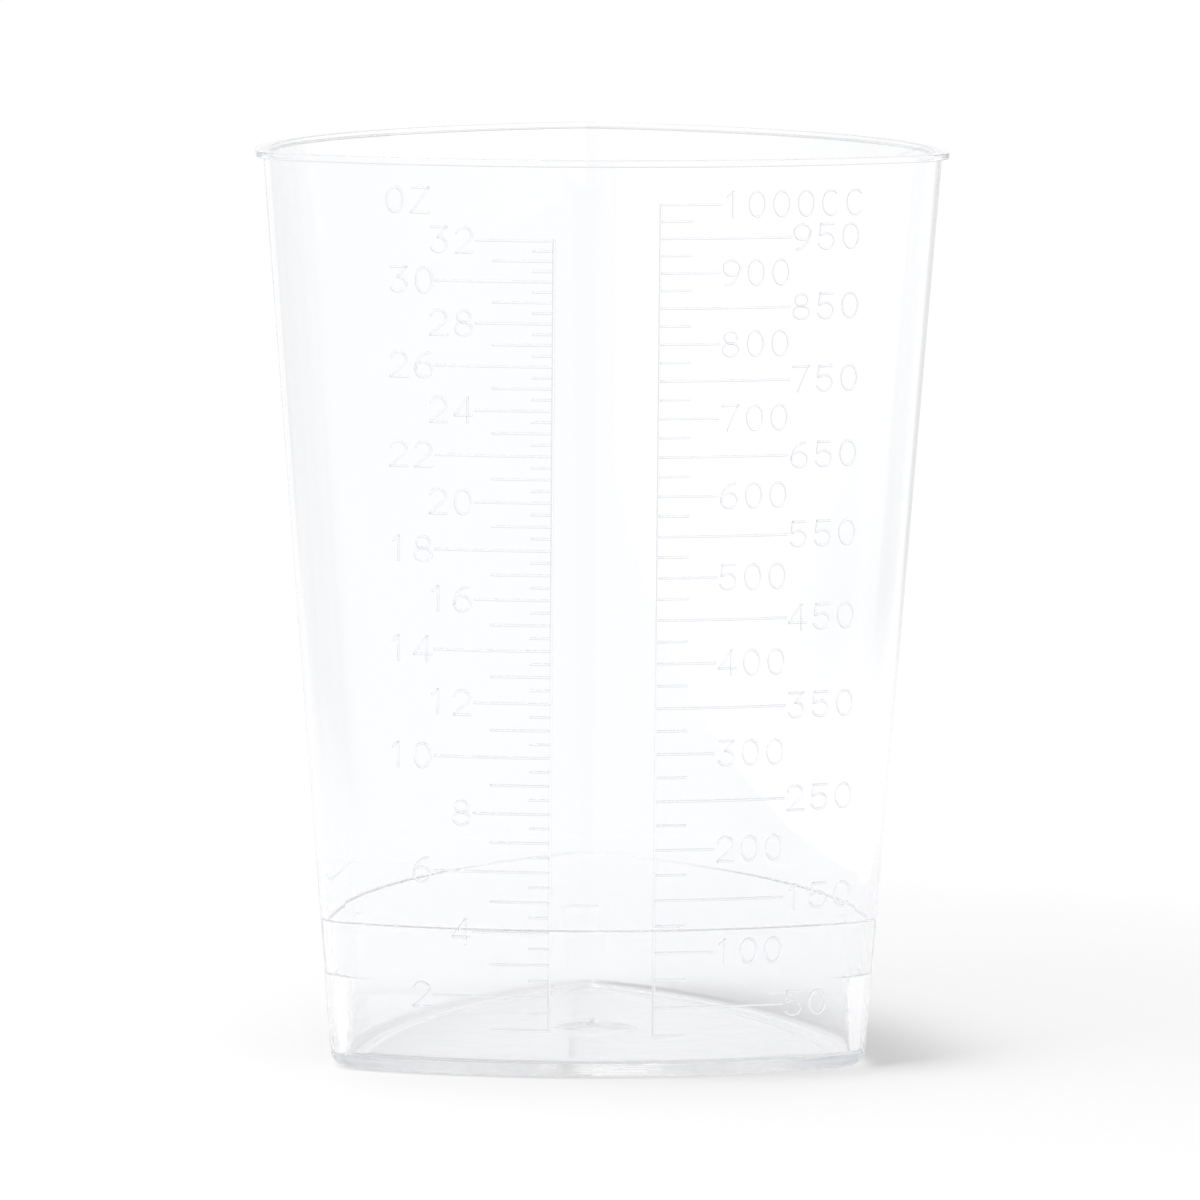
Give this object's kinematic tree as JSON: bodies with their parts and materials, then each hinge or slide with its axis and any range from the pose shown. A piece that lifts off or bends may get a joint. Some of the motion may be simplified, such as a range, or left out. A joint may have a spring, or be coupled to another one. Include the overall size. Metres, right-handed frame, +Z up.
{
  "type": "triangular measuring vessel",
  "caption": "Open clear moulded measuring vessel with a bulging triangular plan, tapered for stacking, with raised millilitre and fluid ounce scales on its front wall.",
  "frame": {"origin": "on the surface it stands on, mid-way under its outline seen from above", "axes": "+Z up through the mouth, -Y out of the front wall that carries the scales, +X to the right as the scales are read"},
  "size_m": [0.1156, 0.117, 0.154],
  "materials": {
    "clear_plastic": "clear, colourless, polished injection moulding",
    "raised_scale": "clear raised relief, same plastic as the vessel"
  },
  "bodies": {
    "root": {"vessel": "clear_plastic", "cc_scale": "raised_scale", "ounce_scale": "raised_scale"}
  },
  "joints": []
}
